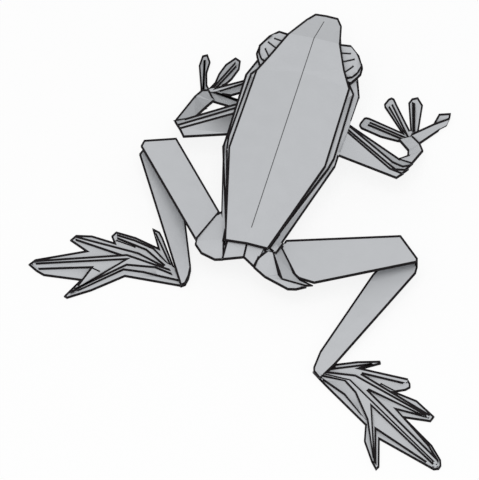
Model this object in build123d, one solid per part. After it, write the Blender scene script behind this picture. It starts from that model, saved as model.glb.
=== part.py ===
from build123d import *
import math
import os
from itertools import pairwise

# An origami frog, folded from one square sheet of grey paper. All sizes are in millimetres.
# The frog sits on its belly with its head towards +Y, its own right side towards +X and up
# along +Z. The origin is the middle of the flat belly.
# The sheet is one piece: every limb is a folded strip that runs on from the body.
# Both sides are drawn as right sides, with their own pose, and the left one is mirrored.

# Paper
ply = 0.45  # one folded ply, a few sheets pressed together
strip = 0.5  # an arm or leg strip, pressed flat
wall = 0.7  # body wall, the layers around the hollow
bite = 0.15  # how far neighbouring plies sink into each other where they are pressed

# Back panel: lengths from station to station, half width and height of its edge at each
tail_y = -32.2
rear_length = 30.8  # tail to waist
front_length = 25.9  # waist to shoulder
neck_length = 4.2
brow_length = 7.0
muzzle_length = 10.1
snout_length = 2.9
waist_y = tail_y + rear_length
shoulder_y = waist_y + front_length
neck_y = shoulder_y + neck_length
brow_y = neck_y + brow_length
muzzle_y = brow_y + muzzle_length
snout_y = muzzle_y + snout_length
tail_half = 5.7
tail_edge = 12.0
waist_half = 12.8
waist_edge = 11.3
shoulder_half = 12.4
shoulder_edge = 12.4
neck_half = 9.9
neck_edge = 14.3
brow_half = 7.0
brow_edge = 15.5
muzzle_half = 4.7
muzzle_edge = 10.4
snout_half = 3.0
snout_edge = 9.8

# Ridge of the back, which kinks down at the brow
ridge_tail = 12.4
ridge_brow = 15.8
ridge_muzzle = 10.8
ridge_snout = 10.0

# Bands: two layers that look out from under the back panel, each lower and wider
upper_reach = 1.3
upper_drop = 1.1
lower_reach = 2.4
lower_drop = 2.2
band_corner = 4.0  # how far the bands run forward of the waist before they bend
tuck = 0.7  # how far a layer rises from its edge to where it goes in under the next
cheek_y = neck_y + 0.8
cheek_half = 13.3
cheek_edge = 10.5
haunch_y = tail_y + 1.6
haunch_half = 7.5
haunch_edge = 8.7
haunch_tuck = 2.0

# Underside
belly_rear = tail_y + 6.6
belly_half = 9.6
belly_rear_half = 5.0
tail_bottom = 7.2
chin_half = 6.5
brow_bottom = 4.0
brow_depth = 4.5  # height of the side of the head at the brow
brow_tuck = 2.6
brow_lead = 2.5  # the head is widest this far behind the brow
muzzle_depth = 2.6
lap_x = 4.0  # the belly is closed by two flaps that nearly meet on this line
lap_gap = 0.7

# Eye, pleated out of the side of the head. Places on it are an inset from its widest point and
# a share of its length from its front.
eye_front = brow_y + 1.3
eye_length = 9.3
eye_out = 13.7
eye_top = 15.1
eye_fall = 1.6  # how much lower its top is at the rear
eye_lean = 0.6  # how much lower its top is at the rim
eye_rim = 13.4
rim_fall = 1.1
eye_bottom = 10.6
eye_outline = [(4.2, 0.0), (1.6, 0.2), (0.0, 0.52), (0.5, 0.77), (1.5, 0.94), (2.7, 1.0)]
eye_crown = [(4.2, 0.04), (2.0, 0.24), (1.5, 0.56), (2.1, 0.82), (3.3, 0.92)]
eye_pleats = [((6.3, 0.35), (3.6, 0.29)), ((5.2, 0.61), (2.3, 0.43)), ((4.0, 0.93), (2.1, 0.65))]
pleat_half = 0.3
pleat_rise = 0.15
socket_edge = 11.9
socket_outline = [(0.4, 0.37), (-0.1, 0.5), (-0.2, 0.74), (0.4, 0.89), (1.5, 1.12)]

# Rump, a short flap behind the tail edge with a notch in its middle. From here on the places
# of the hips and legs are measured from the tail edge, and those of the arms from their roots.
rump_length = 2.5
rump_edge = 9.8
right_rump_root = 4.5
left_rump_root = 5.3
right_rump_corner = (3.1, -4.0, 8.6)
left_rump_corner = (5.6, -3.5, 8.4)

# Hips: facets that carry the legs on from the rump
hip_edge = 8.7
right_hip_flank = [
    (5.1, -0.1, 11.0), (3.6, -1.7, 10.1), (2.9, -3.8, 8.3), (6.3, -5.7, 7.7),
    (9.4, -4.1, 7.7), (6.9, 0.0, 10.9),
]
right_hip_rim = [
    (6.3, -5.7, 7.7), (12.9, -7.6, 7.0), (15.0, -7.1, 7.0), (17.4, -5.8, 7.2),
    (10.7, -4.4, 7.4), (9.0, -3.3, 7.5),
]
right_hip_pleat = [
    (8.2, 6.2, 7.6), (6.9, 0.0, 10.9), (9.4, -4.2, 7.8), (10.7, -5.4, 7.7),
    (14.2, -4.2, 8.2), (11.4, -0.1, 8.3), (8.3, 4.2, 8.3),
]
right_hip_pleat_end = [
    (9.4, -4.2, 7.8), (10.7, -5.4, 7.7), (17.0, -5.8, 7.5), (19.0, -5.4, 7.9), (14.2, -4.2, 8.2),
]
right_hip_flap = [
    (5.6, 1.5, 10.5), (7.8, -0.1, 10.7), (8.2, 2.1, 10.2), (8.5, 5.3, 8.9), (6.5, 4.6, 9.6),
]
left_hip_flank = [
    (8.0, 13.2, 8.6), (10.0, 11.4, 8.6), (13.5, 0.8, 8.4), (13.5, -0.1, 8.2),
    (11.3, -2.3, 7.8), (7.4, -3.4, 7.6), (5.3, -3.2, 8.1), (5.2, -0.4, 9.8),
    (6.2, 0.9, 11.1),
]

# Legs: the thigh's corners at the hip and at the knee fold, then the shank and ankle
right_thigh = [
    (8.7, 6.7), (8.1, 3.9), (11.2, -0.1), (13.7, -3.8), (15.0, -4.7), (19.2, -5.2),
]
left_thigh = [(10.0, 11.4), (13.5, 0.8)]
right_knee = [(36.4, 16.1), (42.5, 9.8), (42.6, 8.6)]
left_knee = [(27.1, 32.8), (34.9, 30.0), (35.2, 27.9)]
knee_edge = 8.2
knee_drop = 3.2  # the shank leaves the fold this far below the thigh
right_calf = [(42.6, 7.6), (31.9, 4.8)]
left_calf = [(35.6, 27.8), (24.6, 20.7)]
right_ankle = [
    (29.8, -24.1, 1.9), (25.0, -21.4, 2.2), (24.6, -26.4, 1.6), (24.8, -27.2, 1.2),
    (27.0, -29.1, 0.9),
]
left_ankle = [
    (17.6, -4.1, 2.0), (13.8, -2.7, 2.1), (13.6, -5.3, 1.7), (13.9, -7.6, 1.3),
    (15.0, -8.5, 1.0),
]

# Feet: three stacked plies, lowest first, each outlined from the instep round the toes to the
# heel, and creases along the toes. Places are from the heel, along and across the foot, and the
# angle turns the foot from +X, counterclockwise from above.
right_foot = (27.0, -26.7)
left_foot = (17.3, -4.7)
right_foot_angle = -31.9
left_foot_angle = -10.6
right_foot_size = 1.0
left_foot_size = 1.0
right_foot_plies = [
    [(-1.9, -1.6), (1.0, -2.0), (3.6, -2.3), (19.8, -3.8), (23.5, -7.7), (29.5, -10.9),
     (32.4, -12.0), (32.2, -10.6), (25.8, -4.4), (42.3, -1.3), (43.1, -0.2), (42.7, 1.0),
     (41.3, 2.2), (36.3, 3.9), (25.0, 5.1), (30.4, 9.0), (29.9, 10.8), (23.0, 11.2),
     (17.2, 9.2), (18.6, 11.5), (18.8, 13.0), (17.9, 13.8), (16.5, 14.3), (5.8, 8.0),
     (8.0, 12.9), (7.2, 13.4), (3.4, 9.1), (0.1, 4.3), (-1.6, 1.0)],
    [(2.1, -1.7), (9.2, -1.1), (16.9, -2.5), (19.8, -2.6), (29.9, -10.6), (31.4, -10.9),
     (23.0, -3.0), (39.5, -1.3), (41.8, -0.9), (42.5, -0.1), (41.3, 1.4), (36.2, 3.1),
     (21.9, 5.3), (27.8, 8.4), (29.4, 9.3), (28.8, 10.2), (7.2, 6.9), (16.6, 12.2),
     (17.2, 13.3), (16.5, 14.3), (5.8, 8.0), (7.0, 11.1), (6.5, 11.1), (-1.0, 0.0)],
    [(1.0, -1.3), (6.1, 1.9), (10.8, 1.2), (19.3, -2.7), (29.4, -10.2), (31.0, -10.9),
     (16.9, 1.2), (41.1, -0.7), (42.0, 0.1), (40.6, 1.4), (12.3, 4.2), (27.9, 8.4),
     (28.9, 9.0), (28.4, 9.4), (6.7, 5.3), (0.1, 0.1)],
]
right_toe_creases = [
    (2, [(0.9, -0.5), (7.0, 3.0), (41.0, 0.0)]),
    (0, [(12.8, 8.3), (17.0, 9.2)]),
]
left_foot_plies = [
    [(-1.6, -3.9), (12.8, -1.7), (20.9, -7.0), (27.0, -10.0), (27.8, -9.4), (24.1, -3.8),
     (33.5, -2.9), (35.5, -1.6), (37.6, 0.4), (36.0, 2.2), (23.5, 6.0), (27.7, 9.2),
     (26.3, 11.0), (22.2, 11.1), (16.5, 9.3), (17.3, 11.3), (16.2, 12.9), (11.1, 11.4),
     (5.2, 8.4), (7.1, 14.7), (5.1, 13.6), (4.1, 11.6), (0.2, 1.3), (-2.5, 0.0)],
    [(-1.4, -2.6), (4.6, -1.3), (8.2, -0.4), (13.3, 0.1), (24.4, -7.7), (26.0, -8.3),
     (24.7, -6.0), (21.7, 0.2), (34.7, -1.3), (36.6, 0.3), (35.3, 1.3), (14.0, 4.7),
     (26.2, 9.0), (26.5, 9.8), (25.6, 10.2), (10.0, 6.1), (3.0, 2.1), (8.2, 7.1),
     (15.7, 10.3), (15.9, 11.7), (11.3, 10.3), (6.2, 7.9), (1.6, 2.4), (-1.4, 0.3)],
    [(0.8, -0.9), (5.4, 1.1), (12.6, 1.4), (25.2, -7.7), (26.4, -8.6), (13.1, 3.3),
     (35.6, 0.1), (36.1, 0.7), (35.2, 1.4), (12.8, 5.0), (1.6, 0.9)],
]
left_toe_creases = [
    (0, [(1.6, 2.8), (6.1, 12.9)]),
    (0, [(10.9, 8.0), (16.0, 9.9)]),
    (1, [(21.5, 0.1), (19.3, -1.0)]),
]
crest_half = 0.3
crest_rise = 0.2

# Upper arms: each ply from the elbow round to its front edge, the top ply first
arm_root = 11.0
arm_root_y = waist_y + 6.5
arm_edge = 9.6
elbow_edge = 8.3
right_elbow = 30.6
left_elbow = 25.5
right_arm_plies = [
    [(30.6, -3.2), (32.0, -1.1), (28.2, -0.4), (11.0, 10.3)],
    [(30.6, -2.7), (32.8, 1.0), (29.6, 0.1), (27.1, 1.5), (11.0, 11.3)],
    [(30.6, -2.3), (33.0, 3.1), (31.0, 1.9), (28.2, 2.5), (11.0, 12.8)],
    [(30.6, -1.9), (33.2, 3.8), (30.0, 4.0), (11.0, 12.8)],
]
left_arm_plies = [
    [(25.5, -3.8), (27.4, -1.0), (11.0, 9.0)],
    [(25.9, -2.9), (28.3, 0.3), (11.0, 11.4)],
    [(26.3, -2.0), (29.2, 1.5), (11.0, 13.1)],
]

# Forearms: outer and inner edge and height, from the elbow to the wrist
right_forearm = [
    ((33.1, 3.4), (29.0, 3.8), 7.3),
    ((34.0, 11.1), (30.4, 8.6), 3.8),
    ((32.3, 14.4), (29.8, 11.3), 2.5),
    ((29.6, 17.3), (26.6, 15.0), 1.2),
]
left_forearm = [
    ((29.2, 1.5), (24.4, 3.7), 7.5),
    ((27.4, 14.5), (23.5, 11.6), 3.0),
    ((27.3, 16.2), (22.6, 14.8), 1.8),
    ((26.5, 18.5), (22.4, 15.8), 1.2),
]

# Hands: the corners of the palm, and each finger's outline with the pleat that lies over it
right_palm = [(26.1, 15.2), (28.2, 16.6), (31.9, 15.6)]
left_palm = [(26.7, 18.7), (24.9, 19.4), (22.4, 15.9)]
right_fingers = [
    ([
        (28.0, 15.4), (26.0, 15.2), (24.4, 15.3), (21.6, 15.5), (16.0, 17.0), (15.3, 17.8),
        (15.3, 18.6), (15.9, 20.6), (16.4, 20.9), (17.2, 20.9), (26.3, 18.4), (28.9, 16.5),
    ], [
        (17.8, 19.4), (17.5, 18.2), (26.7, 15.9), (28.7, 16.6),
    ]),
    ([
        (26.3, 18.4), (20.0, 25.5), (19.7, 26.3), (20.3, 28.3), (21.0, 29.0), (21.8, 28.7),
        (23.0, 26.9), (28.5, 19.2), (29.3, 17.8), (28.8, 16.3),
    ], [
        (21.1, 25.4), (21.9, 26.6), (28.9, 16.7), (27.0, 18.1),
    ]),
    ([
        (28.7, 18.5), (25.6, 28.3), (26.1, 30.0), (27.5, 30.8), (29.4, 28.5), (30.5, 20.1),
        (30.4, 17.1),
    ], [
        (26.5, 28.6), (27.4, 28.3), (29.8, 19.1), (29.1, 18.9),
    ]),
]
left_fingers = [
    ([
        (26.8, 18.5), (29.5, 26.7), (29.5, 30.2), (28.3, 31.0), (26.9, 28.6), (26.8, 24.9),
        (25.7, 20.9), (24.9, 19.8), (25.2, 18.7),
    ], [
        (28.7, 28.5), (28.2, 28.7), (26.0, 19.1), (26.5, 19.0),
    ]),
    ([
        (25.0, 20.0), (24.1, 22.3), (23.9, 25.4), (23.0, 28.9), (21.1, 31.8), (19.5, 31.0),
        (19.1, 28.3), (20.1, 24.5), (21.1, 22.5), (24.2, 19.3), (25.1, 18.6),
    ], [
        (20.7, 30.0), (20.0, 28.5), (23.1, 20.3), (24.3, 19.8),
    ]),
    ([
        (25.3, 18.9), (24.8, 19.7), (16.5, 25.3), (14.6, 26.4), (14.2, 22.5), (16.5, 20.8),
        (18.9, 19.1), (21.9, 18.9), (24.0, 18.2),
    ], [
        (25.2, 18.7), (24.7, 19.5), (16.4, 25.1), (14.6, 26.3), (14.4, 25.0), (16.6, 23.5),
        (22.0, 19.5), (23.7, 18.8),
    ]),
    ([
        (25.1, 19.3), (23.1, 15.9), (19.4, 15.5), (13.4, 14.7), (12.6, 16.5), (14.0, 17.8),
        (16.4, 18.2), (24.4, 19.4),
    ], [
        (25.0, 18.9), (24.6, 19.3), (16.2, 18.0), (13.8, 17.6), (13.6, 17.0), (16.4, 17.3),
        (22.8, 18.6),
    ]),
]
twisted_finger = [
    (29.6, 15.9), (29.0, 18.2), (33.7, 23.0), (37.2, 26.0), (37.0, 23.3), (35.6, 21.7),
    (35.4, 20.9), (31.9, 15.6),
]
twisted_tip = [(33.5, 22.9), (34.1, 26.8), (37.0, 27.8), (37.2, 26.1), (36.0, 23.9)]


def hull(*points):
    """Solid inside the tightest flat skin around some points."""
    return ConvexPolyhedron(points)


def slab(corners, thickness):
    """Pressed strip with its upper corners given, level or sloping."""
    lower = [(x, y, z - thickness) for x, y, z in corners]
    return hull(*corners, *lower)


def sheet(outline, bottom, thickness):
    """Level ply of any outline."""
    face = make_face(Polyline(*outline, close=True))
    return Pos(0, 0, bottom) * extrude(face, thickness)


def tilted(outline, thickness):
    """Flat ply of any outline whose upper corners are given."""
    return extrude(Face(Wire.make_polygon(outline)), thickness, dir=(0, 0, -1))


def triangle(a, b, c):
    """Flat facet between three points."""
    return Face(Wire.make_polygon([a, b, c]))


def faceted(rings):
    """Solid whose skin runs straight from each ring of points to the next, with flat ends.

    Each strip of the skin creases from the first two points of a ring outwards and from the
    others inwards, so that a layer's upper and lower faces crease alike.
    """
    faces = [Face(Wire.make_polygon(rings[0])), Face(Wire.make_polygon(rings[-1]))]
    for near, far in pairwise(rings):
        for i in range(len(near)):
            j = (i + 1) % len(near)
            if i < 2:
                faces.append(triangle(near[i], near[j], far[j]))
                faces.append(triangle(near[i], far[j], far[i]))
            else:
                faces.append(triangle(near[i], near[j], far[i]))
                faces.append(triangle(near[j], far[j], far[i]))
    return Part() + Solid(Shell(faces)).clean()


def both_sides(half):
    """A right half and its mirror image, joined along the frog's middle plane."""
    return half + mirror(half, about=Plane.YZ)


def crest(a, b, half, rise, sink):
    """Low pleat from a to b with a sharp crest along its middle."""
    along = (Vector(*b) - Vector(*a)).normalized()
    side = Vector(0, 0, 1).cross(along) * half
    up = Vector(0, 0, rise)
    down = Vector(0, 0, -sink)
    points = []
    for end in (Vector(*a), Vector(*b)):
        points += [end + up, end + side, end - side, end + side + down, end - side + down]
    return hull(*points)


def between(y, line):
    """Value at y on a line of (y, value) pairs, straight from each pair to the next."""
    for (y0, v0), (y1, v1) in pairwise(line):
        if y <= y1:
            return v0 + (v1 - v0) * (y - y0) / (y1 - y0)
    return line[-1][1]


ridge_line = [
    (tail_y, ridge_tail),
    (brow_y, ridge_brow),
    (muzzle_y, ridge_muzzle),
    (snout_y, ridge_snout),
]


def ridge(y):
    """Height of the back's ridge."""
    return between(y, ridge_line)


def back_panel():
    """Top layer: a roof of two long facets that kinks down at the brow."""
    stations = [
        (tail_y, tail_half, tail_edge),
        (waist_y, waist_half, waist_edge),
        (shoulder_y, shoulder_half, shoulder_edge),
        (neck_y, neck_half, neck_edge),
        (brow_y, brow_half, brow_edge),
        (muzzle_y, muzzle_half, muzzle_edge),
        (snout_y, snout_half, snout_edge),
    ]
    rings = []
    for y, half, edge in stations:
        rings.append([
            (0, y, ridge(y)),
            (half, y, edge),
            (half, y, edge - ply),
            (0, y, ridge(y) - ply),
        ])
    return both_sides(faceted(rings))


def upper_band():
    """Second layer, a narrow band along the panel from the tail to the shoulder."""
    stations = [
        (tail_y + 2 * ply, tail_half, tail_edge - upper_drop / 2),
        (waist_y, waist_half + upper_reach / 2, waist_edge - upper_drop),
        (waist_y + band_corner, waist_half + upper_reach, waist_edge - upper_drop),
        (shoulder_y - upper_reach / 2, shoulder_half + upper_reach, shoulder_edge - upper_drop),
        (neck_y - 2 * ply, neck_half + upper_reach, shoulder_edge - upper_drop),
    ]
    rings = []
    for y, half, edge in stations:
        top = ridge(y) - ply + bite
        rings.append([(0, y, top), (half, y, edge), (half, y, edge - ply), (0, y, top - ply)])
    return both_sides(faceted(rings))


def trunk_rings(skin):
    """Right half of the trunk below the bands, drawn in by the skin given."""
    stations = [
        # y, inner half, inner height, outer half, outer height, bottom half, bottom height
        (tail_y + ply, tail_half - 1.0, tail_edge - 1.2, tail_half - 0.3, tail_edge - 2.4,
         tail_half / 2, tail_bottom),
        (haunch_y, haunch_half - 1.7, haunch_edge + haunch_tuck, haunch_half, haunch_edge,
         tail_half / 2, tail_bottom - 1.6),
        (belly_rear, haunch_half - 0.4, haunch_edge + haunch_tuck, haunch_half + 0.9,
         haunch_edge, belly_rear_half, 0),
        (waist_y + band_corner / 2, waist_half + 0.1, waist_edge - lower_drop + tuck,
         waist_half + lower_reach - 0.4, waist_edge - lower_drop, belly_half, 0),
        (waist_y + 1.5 * band_corner, waist_half + 0.2, waist_edge - lower_drop + tuck + 0.2,
         waist_half + lower_reach - 0.4, waist_edge - lower_drop + 0.2, belly_half, 0),
        (shoulder_y - ply, shoulder_half + 0.2, shoulder_edge - lower_drop + tuck,
         shoulder_half + lower_reach + 0.3, shoulder_edge - lower_drop, belly_half, 0),
        (cheek_y, cheek_half - 3.0, cheek_edge + 1.6, cheek_half, cheek_edge,
         chin_half + 1.0, 0.9),
        (brow_y - brow_lead, brow_half + 0.6, brow_edge - brow_tuck, brow_half + 1.6,
         brow_edge - brow_depth, chin_half - 0.6, brow_bottom - 1.3),
        (brow_y, brow_half - 0.5, brow_edge - 1.0, brow_half + 0.4, brow_edge - brow_depth,
         chin_half - 1.4, brow_bottom),
        (muzzle_y, muzzle_half - 0.5, muzzle_edge - 0.7, muzzle_half - 0.3, muzzle_edge - 1.4,
         muzzle_half - 1.6, muzzle_edge - muzzle_depth),
        (snout_y - ply, snout_half - 0.4, snout_edge - 0.6, snout_half - 0.3, snout_edge - 0.9,
         snout_half - 1.0, snout_edge - 1.3),
    ]
    rings = []
    for y, inner, inner_z, outer, outer_z, bottom, bottom_z in stations:
        top = ridge(y) - 2 * ply + 2 * bite
        rings.append([
            (0, y, top - skin),
            (inner - skin, y, inner_z - skin),
            (outer - 1.6 * skin, y, outer_z - 0.4 * skin),
            (bottom - 0.6 * skin, y, bottom_z + skin),
            (0, y, bottom_z + skin),
        ])
    return rings


def trunk():
    """Body below the bands, still solid."""
    return both_sides(faceted(trunk_rings(0)))


def hollow():
    """Space that the folded body closes in, and the slit between its belly flaps."""
    inside = both_sides(faceted(trunk_rings(wall)[2:8]))
    front = shoulder_y - wall
    rear = belly_rear + wall
    gap = Pos(lap_x, (front + rear) / 2, 0) * Box(lap_gap, front - rear, 4 * wall)
    return inside + gap


def eye():
    """Side of the head puffed out between the panel and the bands, with a ply under its rear."""
    inner = brow_half - 1.5

    def place(inset, share):
        """Point on the eye as seen from above."""
        return eye_out - inset, eye_front - share * eye_length

    def crown(x, y):
        """Point on the flat top of the eye."""
        back = (eye_front - y) / eye_length
        lean = (x - inner) / (eye_out - inner)
        return x, y, eye_top - eye_fall * back - eye_lean * lean

    front, rear = eye_front, eye_front - eye_length
    low = [(inner, front), *[place(*spot) for spot in eye_outline], (inner, rear)]
    high = [(inner, front - 1.0), *[place(*spot) for spot in eye_crown], (inner, rear + 0.8)]
    rim = [(x, y, eye_rim - rim_fall * (front - y) / eye_length) for x, y in low]
    floor = [(x - 0.8, y, eye_bottom) for x, y in low]
    shape = hull(*[crown(*spot) for spot in high], *rim, *floor)
    for root, tip in eye_pleats:
        ends = crown(*place(*root)), crown(*place(*tip))
        shape = shape + crest(*ends, pleat_half, pleat_rise, ply)
    socket = [place(*spot) for spot in socket_outline]
    socket = [(inner, socket[0][1]), *socket, (inner, socket[-1][1])]
    return shape + sheet(socket, socket_edge - ply, ply)


def rump(root, corner):
    """Right half of the short flap behind the tail edge."""
    x, y, z = corner
    upper = [
        (0, tail_y + 1.5, tail_edge),
        (root, tail_y + 1.0, tail_edge - ply),
        (x, tail_y + y, z),
        (0, tail_y - rump_length, rump_edge),
    ]
    lower = [(x, y, z - strip) for x, y, z in upper]
    return hull(*upper, *lower, (root, tail_y + 1.0, tail_edge - 3 * strip))


def turned(points, angle, origin, size=1.0):
    """Flat points turned by an angle, scaled and carried to their origin."""
    c = math.cos(math.radians(angle)) * size
    s = math.sin(math.radians(angle)) * size
    return [(origin[0] + x * c - y * s, origin[1] + x * s + y * c) for x, y in points]


def at_height(points, z):
    """Flat points lifted to one height."""
    return [(x, y, z) for x, y in points]


def foot(origin, angle, size, plies, creases):
    """Three stacked plies, each with deeper notches, and sharp creases along some toes."""
    rise = ply - bite / 2
    shape = None
    for layer, outline in enumerate(plies):
        piece = sheet(turned(outline, angle, origin, size), layer * rise, ply)
        shape = piece if shape is None else shape + piece
    for layer, points in creases:
        top = layer * rise + ply
        for a, b in pairwise(turned(points, angle, origin, size)):
            shape = shape + crest((*a, top), (*b, top), crest_half, crest_rise, ply / 2)
    return shape


def leg(thigh, knee, calf, ankle):
    """Thigh strip, folded back under itself at the knee, and the shank down to the ankle."""
    low = knee_edge - knee_drop
    upper = slab(at_height(thigh, hip_edge) + at_height(knee, knee_edge), strip)
    inward = Vector(*thigh[0]) - Vector(*knee[0])
    inward = inward.normalized() * strip
    bend = []
    for x, y in knee[:2]:
        for z in (knee_edge, low - strip):
            bend += [(x, y, z), (x + inward.X, y + inward.Y, z)]
    start, outer, calf_x = knee[0], calf[0], calf[1]
    drop = low - (low - ankle[1][2]) * 0.25
    shank = slab([
        (*start, low),
        (*knee[1], low),
        (*outer, low),
        (*calf_x, drop),
        ankle[0],
        ankle[1],
    ], strip)
    feet = [(x, y, 0) for x, y, z in ankle]
    return upper + hull(*bend) + shank + hull(*ankle, *feet)


def finger(outline, pleat):
    """Flat finger with a narrow pleat folded over it."""
    return sheet(outline, 0, ply) + sheet(pleat, ply - bite / 2, ply)


def arm(elbow, plies, forearm, palm, fingers):
    """Stack of upper arm plies, the forearm folded forward from the elbow, and the hand."""

    def height(x, drop):
        """Height of the sloping upper arm."""
        share = (x - arm_root) / (elbow - arm_root)
        return arm_edge + (elbow_edge - arm_edge) * share - drop

    shape = None
    for layer, corners in enumerate(plies):
        drop = layer * (ply - bite / 3)
        outline = [(arm_root, layer * ply), *corners]
        piece = tilted([(x, y, height(x, drop)) for x, y in outline], ply)
        shape = piece if shape is None else shape + piece
    stations = [[(*outer, z), (*inner, z), (*outer, max(z - strip, 0)), (*inner, max(z - strip, 0))]
                for outer, inner, z in forearm]
    for near, far in pairwise(stations):
        shape = shape + hull(*near, *far)
    for outline, pleat in fingers:
        shape = shape + finger(outline, pleat)
    low = at_height(palm, 0)
    high = at_height(palm, 2 * ply - bite / 2)
    return shape + hull(*stations[-1], *low, *high)


def right_side():
    """Limbs of the frog's right side."""
    hip = slab(right_hip_flank, strip) + slab(right_hip_rim, strip)
    hip = hip + slab(right_hip_pleat, ply) + slab(right_hip_pleat_end, ply)
    hip = hip + slab(right_hip_flap, ply)
    hind = hip + leg(right_thigh, right_knee, right_calf, right_ankle) + foot(
        right_foot, right_foot_angle, right_foot_size, right_foot_plies, right_toe_creases)
    twist = sheet(twisted_finger, ply - bite / 2, ply) + sheet(twisted_tip, 0, ply)
    fore = twist + arm(right_elbow, right_arm_plies, right_forearm, right_palm, right_fingers)
    flap = rump(right_rump_root, right_rump_corner)
    return flap + Pos(0, tail_y, 0) * hind + Pos(0, arm_root_y, 0) * fore


def left_side():
    """Limbs of the frog's left side, drawn as a right side and mirrored."""
    hind = slab(left_hip_flank, strip) + leg(left_thigh, left_knee, left_calf, left_ankle) + foot(
        left_foot, left_foot_angle, left_foot_size, left_foot_plies, left_toe_creases)
    fore = arm(left_elbow, left_arm_plies, left_forearm, left_palm, left_fingers)
    flap = rump(left_rump_root, left_rump_corner)
    limbs = flap + Pos(0, tail_y, 0) * hind + Pos(0, arm_root_y, 0) * fore
    return mirror(limbs, about=Plane.YZ)


frog = back_panel() + upper_band() + trunk() + both_sides(eye())
print("body", frog.is_valid, len(frog.solids()), round(frog.volume), len(frog.faces()))
frog = frog + right_side() + left_side() - hollow()
print("frog", frog.is_valid, len(frog.solids()), round(frog.volume), len(frog.faces()))

os.makedirs("parts", exist_ok=True)
export_step(frog, "parts/folded_frog.step")
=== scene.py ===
# %% [markdown]
# # A folded paper frog
# The frog is one sheet of grey paper, folded flat in most places and stacked in plies at its
# arms, legs and feet. Nearly every fold and edge is marked with a thin dark line, and some
# facets carry a darker grey as painted shade. The fixed frame is the solid frog. This lesson
# gives it its paper with painted shade, its dark layer edges, its fold lines, a pale floor and
# a soft light.

# %% Load the frame
import math

import bmesh
import bpy
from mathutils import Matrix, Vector
from mathutils.bvhtree import BVHTree


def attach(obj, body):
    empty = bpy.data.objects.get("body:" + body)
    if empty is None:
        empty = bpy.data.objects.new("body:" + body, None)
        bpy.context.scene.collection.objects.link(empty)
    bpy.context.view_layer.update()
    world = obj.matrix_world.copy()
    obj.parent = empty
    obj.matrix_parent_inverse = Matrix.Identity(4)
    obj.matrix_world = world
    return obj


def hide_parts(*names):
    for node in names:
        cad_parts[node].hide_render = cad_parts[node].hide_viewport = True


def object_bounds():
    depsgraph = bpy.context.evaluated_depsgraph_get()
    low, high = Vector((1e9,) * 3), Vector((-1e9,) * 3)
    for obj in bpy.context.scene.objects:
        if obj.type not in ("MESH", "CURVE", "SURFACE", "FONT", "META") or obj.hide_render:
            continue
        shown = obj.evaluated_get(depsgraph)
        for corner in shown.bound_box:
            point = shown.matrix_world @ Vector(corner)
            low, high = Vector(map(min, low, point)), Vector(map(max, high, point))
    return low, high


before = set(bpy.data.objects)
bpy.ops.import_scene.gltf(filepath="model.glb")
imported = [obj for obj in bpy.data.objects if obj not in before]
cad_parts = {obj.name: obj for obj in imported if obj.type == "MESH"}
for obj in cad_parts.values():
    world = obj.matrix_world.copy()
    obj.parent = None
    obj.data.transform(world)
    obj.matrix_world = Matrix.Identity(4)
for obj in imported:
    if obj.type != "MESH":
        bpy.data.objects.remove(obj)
cad_low, cad_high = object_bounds()
MM = 0.001
upward = Vector((0, 0, 1))
print("frame box in mm", [round(v / MM, 1) for v in (*cad_low, *cad_high)])

# %% [markdown]
# The camera comes first, because all that follows is judged through it. The picture is drawn
# almost without perspective. An orthographic camera could show that too, but one that stands
# far away with a long lens keeps the slight perspective that is there. It looks down at the
# frog from behind its right hip. The direction back to the camera is kept, because the widths
# of the lines depend on it.

# %% Camera
azimuth = math.radians(14.83)
elevation = math.radians(50.1)
target = Vector((-1.8, -32.04, 13.0)) * MM
view_width = 121.9 * MM  # what fits across the picture at the target
distance = 5.5
nearest = 10 * MM  # what is nearer to the camera isn't drawn
sensor = 36

toward = Vector((math.sin(azimuth), -math.cos(azimuth), 0))
back = toward * math.cos(elevation) + upward * math.sin(elevation)
bpy.ops.object.select_all(action="DESELECT")
bpy.ops.object.camera_add(location=target + back * distance)
camera = bpy.context.object
camera.rotation_mode = "QUATERNION"
camera.rotation_quaternion = (-back).to_track_quat("-Z", "Y")
camera.data.sensor_width = sensor
camera.data.lens = sensor * distance / view_width
camera.data.clip_start = nearest
bpy.context.scene.camera = camera
print("lens in mm", round(camera.data.lens))

# %% [markdown]
# Paper and ink are built from the same three steps: a plain finish, a noise that is fixed to
# the object, and a base colour that moves between two shades with that noise. The nodes could
# be wired by hand for each material, but as short functions the steps are written once.

# %% Steps of a material


def finish(name, roughness, gloss):
    """New material with an even roughness and gloss."""
    material = bpy.data.materials.new(name)
    material.use_nodes = True
    shader = material.node_tree.nodes["Principled BSDF"]
    shader.inputs["Roughness"].default_value = roughness
    shader.inputs["Specular IOR Level"].default_value = gloss
    return material


def noise_on(material, size, detail):
    """Noise fixed to the object, with this many waves per metre."""
    nodes = material.node_tree.nodes
    noise = nodes.new("ShaderNodeTexNoise")
    noise.inputs["Scale"].default_value = size
    noise.inputs["Detail"].default_value = detail
    place = nodes.new("ShaderNodeTexCoord").outputs["Object"]
    material.node_tree.links.new(place, noise.inputs["Vector"])
    return noise.outputs["Fac"]


def shades(material, amount, one, other):
    """Base colour that moves between two shades."""
    link = material.node_tree.links.new
    blend = material.node_tree.nodes.new("ShaderNodeMix")
    blend.data_type = "RGBA"
    link(amount, blend.inputs["Factor"])
    blend.inputs["A"].default_value = (*one, 1)
    blend.inputs["B"].default_value = (*other, 1)
    shader = material.node_tree.nodes["Principled BSDF"]
    link(blend.outputs["Result"], shader.inputs["Base Color"])


print("steps", finish.__name__, noise_on.__name__, shades.__name__)
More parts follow.
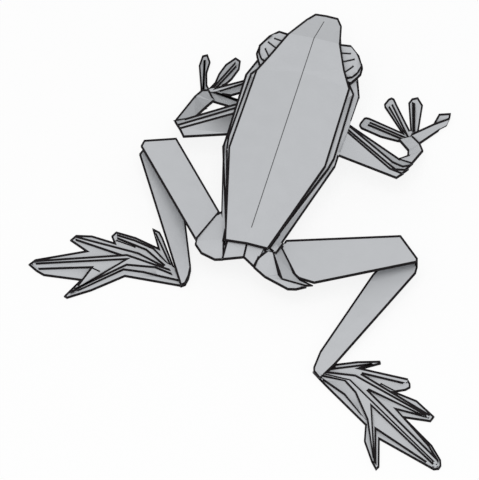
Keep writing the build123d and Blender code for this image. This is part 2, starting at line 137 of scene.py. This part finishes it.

# %% [markdown]
# Paper isn't one flat colour. Its fibres make faint clouds a few millimetres wide and a much
# finer tooth, which also breaks up the light. A picture of paper could show this, but it would
# need a file and would break at every fold, while a noise runs on through the whole sheet. The
# clouds move the colour by a few percent, and the tooth drives a weak bump. A darker copy of
# the same paper is painted shade on some facets, so one function makes both.

# %% Paper
face_grey = (0.497, 0.509, 0.527)
# a darker copy of the grey, used as painted shade on some facets
painted_shade_grey = (0.386, 0.397, 0.413)
paper_roughness = 0.88
paper_gloss = 0.15
cloud_size = 260  # clouds per metre
cloud_detail = 4
cloud_share = 0.035  # how much the clouds lighten and darken the grey
tooth_size = 4200
tooth_detail = 2
tooth_depth = 0.02 * MM
tooth_strength = 0.35


def paper(name, grey):
    """Matt paper with faint clouds in its colour and a fine tooth."""
    material = finish(name, paper_roughness, paper_gloss)
    nodes = material.node_tree.nodes
    link = material.node_tree.links.new
    darker = [v * (1 - cloud_share) for v in grey]
    lighter = [v * (1 + cloud_share) for v in grey]
    shades(material, noise_on(material, cloud_size, cloud_detail), darker, lighter)
    bump = nodes.new("ShaderNodeBump")
    bump.inputs["Distance"].default_value = tooth_depth
    bump.inputs["Strength"].default_value = tooth_strength
    link(noise_on(material, tooth_size, tooth_detail), bump.inputs["Height"])
    link(bump.outputs["Normal"], nodes["Principled BSDF"].inputs["Normal"])
    return material


front = paper("grey_paper", face_grey)
# the darker paper is painted shade for the facets picked further on
painted_shade_paper = paper("paper_with_painted_shade", painted_shade_grey)
print("papers", front.name, painted_shade_paper.name)

# %% [markdown]
# The lines are drawn in near-black ink, and a few slight creases in a fainter one. One flat
# colour would do from afar, but ink soaks in unevenly, so close up a fine noise moves how dark
# it is. It is also a little smoother than the paper.

# %% Ink
ink_dark = (0.007, 0.005, 0.006)
faint_dark = (0.10, 0.10, 0.105)
ink_change = 0.006
ink_roughness = 0.8
ink_gloss = 0.1
soak_size = 2100
soak_detail = 2


def ink(name, dark):
    """Line ink that moves a little in how dark it is."""
    material = finish(name, ink_roughness, ink_gloss)
    paler = [v + ink_change for v in dark]
    shades(material, noise_on(material, soak_size, soak_detail), dark, paler)
    return material


line_ink = ink("line_ink", ink_dark)
faint_ink = ink("faint_ink", faint_dark)
print("inks", line_ink.name, faint_ink.name)

# %% [markdown]
# The sheet could be folded again from a flat square, but the frame already holds it with all
# its folds and plies. Its mesh is loose triangles, so a copy of it is merged, and its edges
# then know both of their faces. The copy is the paper that shows, and its faces can carry
# different papers. The slightest bends are shaded smooth, because the sheet is taut there.

# %% Sheet of paper
taut_angle = math.radians(12)  # a slighter bend than this doesn't show
same_corner = 0.001 * MM  # corners nearer than this are one
# the second slot holds the paper with painted shade
front_slot, painted_shade_slot, edge_slot = range(3)

bpy.ops.object.select_all(action="DESELECT")
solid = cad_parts["folded_frog"]
solid.select_set(True)
bpy.context.view_layer.objects.active = solid
bpy.ops.object.duplicate()
sheet = bpy.context.object
sheet.name = "paper_frog"
for key in list(sheet.keys()):
    if key.startswith("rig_"):  # the marks of the frame's own node
        del sheet[key]
bpy.ops.object.mode_set(mode="EDIT")
bpy.ops.mesh.select_all(action="SELECT")
bpy.ops.mesh.remove_doubles(threshold=same_corner)
bpy.ops.object.mode_set(mode="OBJECT")
bpy.ops.object.shade_smooth_by_angle(angle=taut_angle)
sheet.data.materials.clear()
for material in (front, painted_shade_paper, line_ink):
    sheet.data.materials.append(material)
print("faces", len(sheet.data.polygons))

# %% [markdown]
# Edges are sorted first: a fold bends sharply, and an outward one may carry a line. The folds
# could be marked by hand, but the angle between two faces finds them all, also after a change
# of the solid. All that follows works on this one editable copy of the mesh.

# %% Folds
fold_angle = math.radians(28)  # a sharper bend than this is a fold

work = bmesh.new()
work.from_mesh(sheet.data)
work.faces.ensure_lookup_table()


def is_fold(edge):
    """Whether the sheet bends sharply at an edge."""
    if len(edge.link_faces) != 2:
        return True
    one, other = edge.link_faces
    return one.normal.angle(other.normal, 0) > fold_angle


folds = {edge for edge in work.edges if is_fold(edge)}
print("folds", len(folds))

# %% [markdown]
# The head bends down a little at the brow, where the real paper has no crease. Its edges there
# are shaded smooth, apart from the ridge along the middle, so that the kink hardly shows.

# %% Kink across the head
head_low = Vector((-8, 30, 9)) * MM
head_high = Vector((8, 50, 17)) * MM
middle_reach = 0.01 * MM  # a corner nearer than this to the middle plane lies on it


def on_head(edge):
    """Whether both ends of an edge lie on the head."""
    return all(head_low[i] < vert.co[i] < head_high[i] for vert in edge.verts for i in range(3))


eased = 0
for edge in work.edges:
    on_ridge = all(abs(vert.co.x) < middle_reach for vert in edge.verts)
    if on_head(edge) and edge not in folds and not on_ridge:
        edge.smooth = True
        eased += 1
print("edges shaded smooth on the head", eased)

# %% [markdown]
# Faces that aren't parted by a fold are gathered into facets, and each facet is measured. Its
# breadth is twice its area over its rim, which for a long strip is simply how wide it is.

# %% Facets
tiny = 1e-9  # keeps a division away from zero

facet_of = {}
facets = []
for start in work.faces:
    if start in facet_of:
        continue
    facet_of[start] = len(facets)
    members = [start]
    for face in members:
        for edge in face.edges:
            for other in edge.link_faces:
                if edge not in folds and other not in facet_of:
                    facet_of[other] = len(facets)
                    members.append(other)
    facets.append(members)


def breadth_of(members):
    """How wide a facet is, if it is a long strip."""
    outline = sum(edge.calc_length() for face in members for edge in face.edges if edge in folds)
    return 2 * sum(face.calc_area() for face in members) / max(outline, tiny)


breadths = [breadth_of(members) for members in facets]
print("facets", len(facets), "widest in mm", round(max(breadths) / MM, 1))

# %% [markdown]
# Many folds can never be seen, because they lie in the hollow body or between two layers. A fan
# of rays from a few places beside a fold tells: where every ray hits paper, it stays unmarked.

# %% Folds in the open
tree = BVHTree.FromBMesh(work)
tilts = (0.3, 0.8, 1.3)
turns = (0.4, 1.3, 2.2, 3.1, 4.0, 4.9, 5.8)
fan = [Vector((math.sin(tilt) * math.cos(turn), math.sin(tilt) * math.sin(turn), math.cos(tilt)))
       for tilt in tilts for turn in turns]
ray_places = (0.1, 0.35, 0.65, 0.9)  # shares of an edge's length
beside = 0.1 * MM  # how far from the fold a ray starts
off = 0.02 * MM  # and how far above the sheet


def inward(loop):
    """Direction from an edge into the face of its loop."""
    along = loop.link_loop_next.vert.co - loop.vert.co
    return loop.face.normal.cross(along).normalized()


def in_the_open(loop):
    """Whether something outside can see a face beside one of its edges."""
    normal = loop.face.normal
    lean = upward.rotation_difference(normal)
    for place in ray_places:
        on_fold = loop.vert.co.lerp(loop.link_loop_next.vert.co, place)
        viewpoint = on_fold + inward(loop) * beside + normal * off
        if any(tree.ray_cast(viewpoint, lean @ ray)[0] is None for ray in fan):
            return True
    return False


rim = [loop for face in work.faces for loop in face.loops if loop.edge in folds]
open_rim = {loop for loop in rim if in_the_open(loop)}
print("sides of folds", len(rim), "in the open", len(open_rim))

# %% [markdown]
# A few folds in the open have no line in the drawing either. The solid needs them for its form,
# but on the sheet they are only soft bends. Each is named by a point near its middle.

# %% Plain folds
plain_spots = [
    (3.5, 35.7, 15.6),  # across the head
    (-3.5, 35.7, 15.6),
    (-26.0, 14.6, 5.1),  # along the left forearm
    (10.5, -34.3, 9.5),  # across the pleat beside the right hip
    (7.8, -37.1, 7.7),  # low on the right flank
    (6.0, -32.2, 10.9),  # the flank's upper edge, under the band's end
    (4.1, -32.5, 10.8),  # the rump's right end, beside the flank
    (10.95, -12.5, 9.9),  # along the lower band on the right
    (8.1, -27.0, 9.0),  # across the end of that band
    (14.95, 14.8, 9.75),  # the lower band's edge, where the right arm covers it
    (31.65, 12.8, 5.45),  # across the right wrist
]
spot_reach = 0.3 * MM


def middle_of(edge):
    """Point half way along an edge."""
    return (edge.verts[0].co + edge.verts[1].co) / 2


def is_plain(edge):
    """Whether a fold is one that the drawing leaves unmarked."""
    middle = middle_of(edge)
    return any((middle - Vector(spot) * MM).length < spot_reach for spot in plain_spots)


unmarked = {edge for edge in folds if is_plain(edge)}
print("folds left plain", len(unmarked), "named by", len(plain_spots), "points")

# %% [markdown]
# The edge of a layer is a narrow upright facet. It is dark, as in the drawing, where the
# outline of a layer and its thickness are one line. A narrow facet beside a plain fold is part
# of the sheet's face and stays grey.

# %% Layer edges
ply_edge = 0.84 * MM  # no layer is thicker than this
steep = 0.5  # a face whose normal rises or sinks less than this is a wall

upright = [abs(facet[0].normal.z) < steep for facet in facets]
layer_edge = [wall and breadth < ply_edge for wall, breadth in zip(upright, breadths)]
for edge in unmarked:
    for face in edge.link_faces:
        layer_edge[facet_of[face]] = False
print("layer edges", sum(layer_edge))

# %% [markdown]
# The pleats of the toes and fingers run out before they reach the tips, and so do their lines.
# The short edges that close a pleat get no line, and the walls under them stay grey.

# %% Tips of the pleats
same_way = 0.999  # directions with a larger dot product than this are the same
pleat_low = 0.46 * MM  # the tips lie between these two heights
pleat_high = 1.25 * MM
tip_length = 3.0 * MM  # and none is longer than this


def is_tip(edge):
    """Whether an edge closes the tip of a pleat on a hand or foot."""
    heights = [vert.co.z for vert in edge.verts]
    level = any(face.normal.z > same_way for face in edge.link_faces)
    return (level and pleat_low < min(heights) and max(heights) < pleat_high
            and edge.calc_length() < tip_length and edge.is_convex)


tips = {edge for edge in folds if is_tip(edge)}
tip_walls = set()
for edge in tips:
    for face in edge.link_faces:
        if abs(face.normal.z) < steep:
            beyond = {other for side in face.edges for other in side.link_faces}
            tip_walls |= {other for other in beyond if other.normal.dot(face.normal) > same_way}


def is_dark(face):
    """Whether a face is part of a dark layer edge."""
    return layer_edge[facet_of[face]] and face not in tip_walls


print("tips", len(tips), "walls under them", len(tip_walls))

# %% [markdown]
# Some facets take the darker copy of the paper as painted shade. Those facets are picked by a
# point on each, as seen from straight above: the inner facets of the left arm and hand, the
# lower band on the right, the pleat beside the right hip and the lowest ply of the right arm.
# The painted shade ends where a facet bends away, as at the right wrist.

# %% Papers of the facets
# a point on each facet that gets painted shade
painted_shade_spots = [
    (-27.0, 12.0), (-26.2, 21.5), (-28.6, 32.0), (-22.3, 34.0), (-20.4, 31.0), (-18.0, 25.9),
    (-21.0, 22.2), (9.6, -20.0), (10.6, -32.5), (10.6, -35.4), (31.2, 8.4), (22.0, 12.6),
]
above = 40 * MM  # the points are looked down on from this height
same_slope = math.radians(22)  # past this bend a facet gets no painted shade

painted_shade_slope = {}
for x, y in painted_shade_spots:
    hit, normal, index, _ = tree.ray_cast(Vector((x * MM, y * MM, above)), -upward)
    number = facet_of[work.faces[index]]
    painted_shade_slope[number] = normal
    print("reverse at", x, y, "height", round(hit.z / MM, 2), "faces", len(facets[number]))


def paper_slot(face):
    """Material slot that a face of the sheet takes."""
    if is_dark(face):
        return edge_slot
    slope = painted_shade_slope.get(facet_of[face])
    # a picked facet gets the darker paper as painted shade, up to where it bends away
    in_painted_shade = slope is not None and face.normal.angle(slope) < same_slope
    return painted_shade_slot if in_painted_shade else front_slot


for face in work.faces:
    face.material_index = paper_slot(face)
work.to_mesh(sheet.data)
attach(sheet, "root")
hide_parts("folded_frog")

# %% [markdown]
# The lines of the drawing could be painted on an image, but it would have to be as sharp as the
# thinnest line all over the frog. So they are flat strips of ink that lie on the facets, along
# their rims. A strip on each side of a fold makes one line. Where the other side turns under or
# away from the camera, the whole line lies on the near side. Beside a dark layer edge the strip
# is a little wider on the far side of the layer, because there the dark edge doesn't show. The
# pleats of the eyes are faint, thin lines.

# %% Sorts of lines
line = 0.52 * MM
edge_line = 0.44 * MM
edge_change = 0.1 * MM  # how much narrower the strip is above an edge that shows
thin_line = 0.22 * MM
turned_under = -0.1  # a face whose normal rises less than this isn't seen from above
underside = -0.9  # and one whose normal rises less than this faces the floor
floor_low = 0.1 * MM  # such a face lies on the floor where it is lower than this
eye_low = Vector((5.0, 26.5, 11.0)) * MM  # box of the right eye, and mirrored of the left
eye_high = Vector((14.5, 37.5, 20.0)) * MM


def on_eye(edge):
    """Whether an edge lies on one of the eyes."""
    middle = middle_of(edge)
    place = (abs(middle.x), middle.y, middle.z)
    return all(eye_low[i] < place[i] < eye_high[i] for i in range(3))


def carries_line(loop):
    """Whether a face has ink along one of its edges."""
    face, edge = loop.face, loop.edge
    on_floor = face.normal.z < underside and loop.vert.co.z < floor_low
    marked = edge in folds and edge.is_convex and edge not in tips and edge not in unmarked
    return marked and loop in open_rim and not is_dark(face) and not on_floor


print("lines on", sum(carries_line(loop) for loop in rim), "sides of folds")

# %% [markdown]
# In the drawing all lines are equally wide, whichever way the sheet lies. A strip on a facet
# that tilts away from the camera would look thinner there, so it is made wider by as much as
# it loses, up to a limit. No strip is wider than its facet.

# %% Width of a line
least_share = 0.6  # a strip is widened as if it looked no thinner than this
widest_share = 0.9  # of the breadth of its facet
eye_slope = 0.6  # both sides of a fold rise more than this on top of an eye
narrow = 0.7 * MM  # a facet of an eye's pleat is narrower than this
short = 0.7 * MM  # a fold of a pleat that is shorter than this has no line


def seen_share(loop):
    """How wide a strip along an edge looks from the camera, as a share of its true width."""
    along = (loop.link_loop_next.vert.co - loop.vert.co).normalized()
    facing = loop.face.normal.dot(back)
    return facing / math.sqrt(max(1 - along.dot(back) ** 2, tiny))


def strip_width(loop):
    """Width of the ink strip on a face along one of its edges, or 0 for none."""
    if not carries_line(loop):
        return 0
    face, edge = loop.face, loop.edge
    other = loop.link_loop_radial_next.face
    breadth = breadths[facet_of[face]]
    if on_eye(edge) and face.normal.z > eye_slope and other.normal.z > eye_slope:
        pleat = breadth < narrow and breadths[facet_of[other]] < narrow
        return thin_line / 2 if pleat and edge.calc_length() > short else 0
    width = line / 2
    if other.normal.z < turned_under or other.normal.dot(back) < 0:
        width = line
    if is_dark(other):
        width = edge_line - edge_change * other.normal.dot(toward)
    share = seen_share(loop)
    if share > 0:
        width /= max(share, least_share)
    return min(width, breadth * widest_share)


widths = [strip_width(loop) for loop in rim]
print("widest strip in mm", round(max(widths) / MM, 2))

# %% [markdown]
# The inner corners of a strip lie where its own inner line meets that of the strip next round
# the facet, as in a picture frame. Where a line ends in the middle of the sheet, the strip ends
# square. A facet may bend a little, and then the corner is raised to the sheet, so that the ink
# isn't buried.

# %% Corners of a strip
widest_corner = 2.4  # a sharp corner reaches in by at most this many widths
in_line = 0.995  # neighbours whose directions agree more than this need no corner
turned_back = -0.9  # nor do those that agree less than this, at a tip as thin as a needle
search = 0.15 * MM  # the most that a corner is raised


def next_rim(loop):
    """Next loop along a fold round the same facet."""
    following = loop.link_loop_next
    while following.edge not in folds:
        following = following.link_loop_radial_next.link_loop_next
    return following


def corner(own, neighbour):
    """Offset from a corner of the facet to the inner corner of the strip there."""
    normal = own.face.normal
    way, next_way = inward(own), inward(neighbour)
    next_way = (next_way - normal * next_way.dot(normal)).normalized()
    width, next_width = strip_width(own), strip_width(neighbour)
    agree = way.dot(next_way)
    if agree > in_line or agree < turned_back:
        return way * width
    # the point that is its own width in from one edge and the next width in from the other
    offset = way * (width - agree * next_width) + next_way * (next_width - agree * width)
    offset = offset / (1 - agree * agree)
    longest = widest_corner * max(width, next_width)
    return offset * (longest / offset.length) if offset.length > longest else offset


def on_sheet(point, loop):
    """The point, raised to the sheet where the facet of a face rises beside it."""
    normal = loop.face.normal
    hit, _, index, _ = tree.ray_cast(point + normal * search, -normal, search)
    if index is None or facet_of[work.faces[index]] != facet_of[loop.face]:
        return point
    return hit


ahead = {loop: next_rim(loop) for loop in rim}
behind = {following: loop for loop, following in ahead.items()}
print("corners", len(ahead))

# %% [markdown]
# A strip could be a single face, but a thin closed bar is a true solid and never flickers with
# the sheet. It stands a hair above the sheet and reaches a little way into it and over the
# fold, which closes the line. There are hundreds of bars, so they are built straight into one
# mesh instead of one by one with operators. It has a slot for the dark ink and one for the
# faint.

# %% Strips
overhang = 0.03 * MM  # over the fold
lift = 0.012 * MM  # above the sheet
sink = 0.03 * MM  # into the sheet
bar_sides = ((0, 1, 2, 3), (7, 6, 5, 4), (0, 4, 5, 1), (1, 5, 6, 2), (2, 6, 7, 3), (3, 7, 4, 0))
dark_line, faint_line = range(2)
lines = bmesh.new()


def bar(ring, up, slot):
    """Closed bar of ink round a ring of four points, none of it below the frog."""
    points = [point + up * lift for point in ring] + [point - up * sink for point in ring]
    corners = [lines.verts.new((point.x, point.y, max(point.z, cad_low.z))) for point in points]
    for picked in bar_sides:
        face = lines.faces.new([corners[i] for i in picked])
        face.material_index = slot


def strip(loop):
    """Ink strip on a face along one of its edges."""
    start, end = loop.vert.co, loop.link_loop_next.vert.co
    over = inward(loop) * -overhang
    inner_start = on_sheet(start + corner(loop, behind[loop]), loop)
    inner_end = on_sheet(end + corner(loop, ahead[loop]), loop)
    faint = on_eye(loop.edge) and strip_width(loop) < line / 2
    ring = (start + over, end + over, inner_end, inner_start)
    bar(ring, loop.face.normal, faint_line if faint else dark_line)


drawn = 0
for loop, width in zip(rim, widths):
    if width > 0:
        strip(loop)
        drawn += 1
print("strips", drawn)

# %% [markdown]
# A few lines of the drawing run over the open sheet, or along only a part of a fold, so no fold
# of the mesh can place them. They are laid between two points, each with its height on the
# sheet.

# %% Short lines
short_lines = [
    ((0, -31.8, 11.45), (0, -34.7, 9.85)),  # the middle of the rump
    ((3.7, -33.7, 10.2), (3.2, -36.1, 8.7)),  # where the flank comes out of the rump
    ((14.85, 24.0, 10.3), (14.72, 16.0, 9.92)),  # the lower band's edge, down to the right arm
    ((29.46, 9.29, 7.14), (31.46, 12.14, 5.77)),  # the inner edge of the right wrist
]


def laid_line(start, end, width, slot):
    """Line of ink that lies on the sheet between two points."""
    across = (end - start).cross(upward).normalized() * width / 2
    bar((start - across, start + across, end + across, end - across), upward, slot)


for start, end in short_lines:
    laid_line(Vector(start) * MM, Vector(end) * MM, line, dark_line)
print("short lines", len(short_lines))

# %% [markdown]
# The crease along the middle of the back is a thin line that starts a little in front of the
# tail and ends a little behind the tip of the head. One straight line would float over the
# bends of the sheet, so it follows the ridge: the corners of the mesh on the middle plane that
# have no paper above them.

# %% Middle crease
crease_start = -27.0 * MM
crease_end = 45.8 * MM


def on_ridge_at(rear, fore, y):
    """Point of the ridge between two corners at a place along it, or the nearer corner."""
    share = (y - rear.y) / max(fore.y - rear.y, tiny)
    return rear.lerp(fore, min(max(share, 0), 1))


ridge = [vert.co.copy() for vert in work.verts
         if abs(vert.co.x) < middle_reach and tree.ray_cast(vert.co + upward * off, upward)[0] is None]
ridge.sort(key=lambda point: point.y)
for rear, fore in zip(ridge, ridge[1:]):
    if fore.y > crease_start and rear.y < crease_end:
        start = on_ridge_at(rear, fore, crease_start)
        end = on_ridge_at(rear, fore, crease_end)
        laid_line(start, end, thin_line, faint_line)
print("ridge in mm", [(round(point.y / MM, 1), round(point.z / MM, 1)) for point in ridge])

# %% [markdown]
# The bars become one piece, the drawing on the paper. It could be joined with the sheet, but as
# a piece of its own it can be hidden or inked anew. It rides with the frog.

# %% Fold lines
mesh = bpy.data.meshes.new("fold_lines")
lines.to_mesh(mesh)
fold_lines = bpy.data.objects.new("fold_lines", mesh)
bpy.context.scene.collection.objects.link(fold_lines)
for material in (line_ink, faint_ink):
    fold_lines.data.materials.append(material)
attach(fold_lines, "root")
print("bars of ink", len(mesh.polygons) // len(bar_sides))

# %% [markdown]
# The floor and the world both show the camera a plain white and do something else for the
# light. A ray that comes from the camera, or from a mirror-like surface, is told apart from the
# rest by its kind, and a mix of two shaders follows it.

# %% Two faces for two kinds of rays


def seen_directly(node_tree):
    """Number that is 1 for rays from the camera or a gloss, and 0 for all others."""
    rays = node_tree.nodes.new("ShaderNodeLightPath")
    seen = node_tree.nodes.new("ShaderNodeMath")
    seen.operation = "MAXIMUM"
    node_tree.links.new(rays.outputs["Is Camera Ray"], seen.inputs[0])
    node_tree.links.new(rays.outputs["Is Glossy Ray"], seen.inputs[1])
    return seen.outputs[0]


def two_faced(node_tree, amount, for_light, for_camera, end):
    """Mix of two shaders that ends in the named output."""
    mix = node_tree.nodes.new("ShaderNodeMixShader")
    node_tree.links.new(amount, mix.inputs["Fac"])
    node_tree.links.new(for_light.outputs[0], mix.inputs[1])
    node_tree.links.new(for_camera.outputs[0], mix.inputs[2])
    node_tree.links.new(mix.outputs[0], node_tree.nodes[end].inputs["Surface"])


print("helpers", seen_directly.__name__, two_faced.__name__)

# %% [markdown]
# The floor is a pale disc that the camera sees as white, apart from the frog's faint shadow.
# More light could make it white, but that would bleach the frog as well. So a large part of its
# colour is its own white, and the rest takes the light and the shadow. It is round, so that it
# has no corner in any view.

# %% Floor
floor_radius = 1.5
floor_corners = 96
floor_gap = 0.05 * MM
floor_grey = 0.9
white_share = 0.85

bpy.ops.object.select_all(action="DESELECT")
bpy.ops.mesh.primitive_circle_add(vertices=floor_corners, radius=floor_radius, fill_type="NGON",
                                  location=(0, 0, cad_low.z - floor_gap))
floor = bpy.context.object
floor.name = "floor"
pale = finish("pale_floor", 1, 0)
matt = pale.node_tree.nodes["Principled BSDF"]
matt.inputs["Base Color"].default_value = (floor_grey, floor_grey, floor_grey, 1)
white = pale.node_tree.nodes.new("ShaderNodeEmission")
own_white = pale.node_tree.nodes.new("ShaderNodeMath")
own_white.operation = "MULTIPLY"
own_white.inputs[1].default_value = white_share
pale.node_tree.links.new(seen_directly(pale.node_tree), own_white.inputs[0])
two_faced(pale.node_tree, own_white.outputs[0], matt, white, "Material Output")
floor.data.materials.append(pale)
print("floor at", round(floor.location.z / MM, 2), "mm, its radius in m", floor_radius)

# %% [markdown]
# The picture has no direction of light, so about two thirds of the light comes evenly from all
# round. The rest comes from one large soft lamp high up on the camera's side. A lamp on the far
# side would show the folds more strongly, but from here the light reaches under the knees and
# into the gaps that the camera sees, and it still tells the folds apart.

# %% Light
ambient_strength = 0.66
lamp_place = Vector((0.08, -0.3, 0.75))
lamp_size = 0.6
lamp_power = 2.8
full_white = (1, 1, 1, 1)

world = bpy.data.worlds.new("even_light")
world.use_nodes = True
bpy.context.scene.world = world
ambient = world.node_tree.nodes["Background"]
ambient.inputs["Color"].default_value = full_white
ambient.inputs["Strength"].default_value = ambient_strength
backdrop = world.node_tree.nodes.new("ShaderNodeBackground")
backdrop.inputs["Color"].default_value = full_white
two_faced(world.node_tree, seen_directly(world.node_tree), ambient, backdrop, "World Output")

bpy.ops.object.select_all(action="DESELECT")
bpy.ops.object.light_add(type="AREA", location=lamp_place)
lamp = bpy.context.object
lamp.rotation_euler = (-lamp_place).to_track_quat("-Z", "Y").to_euler()
lamp.data.size = lamp_size
lamp.data.energy = lamp_power
bpy.context.scene.view_settings.view_transform = "Standard"
print("lamp at", [round(v, 2) for v in lamp.location], "and even light of", ambient_strength)
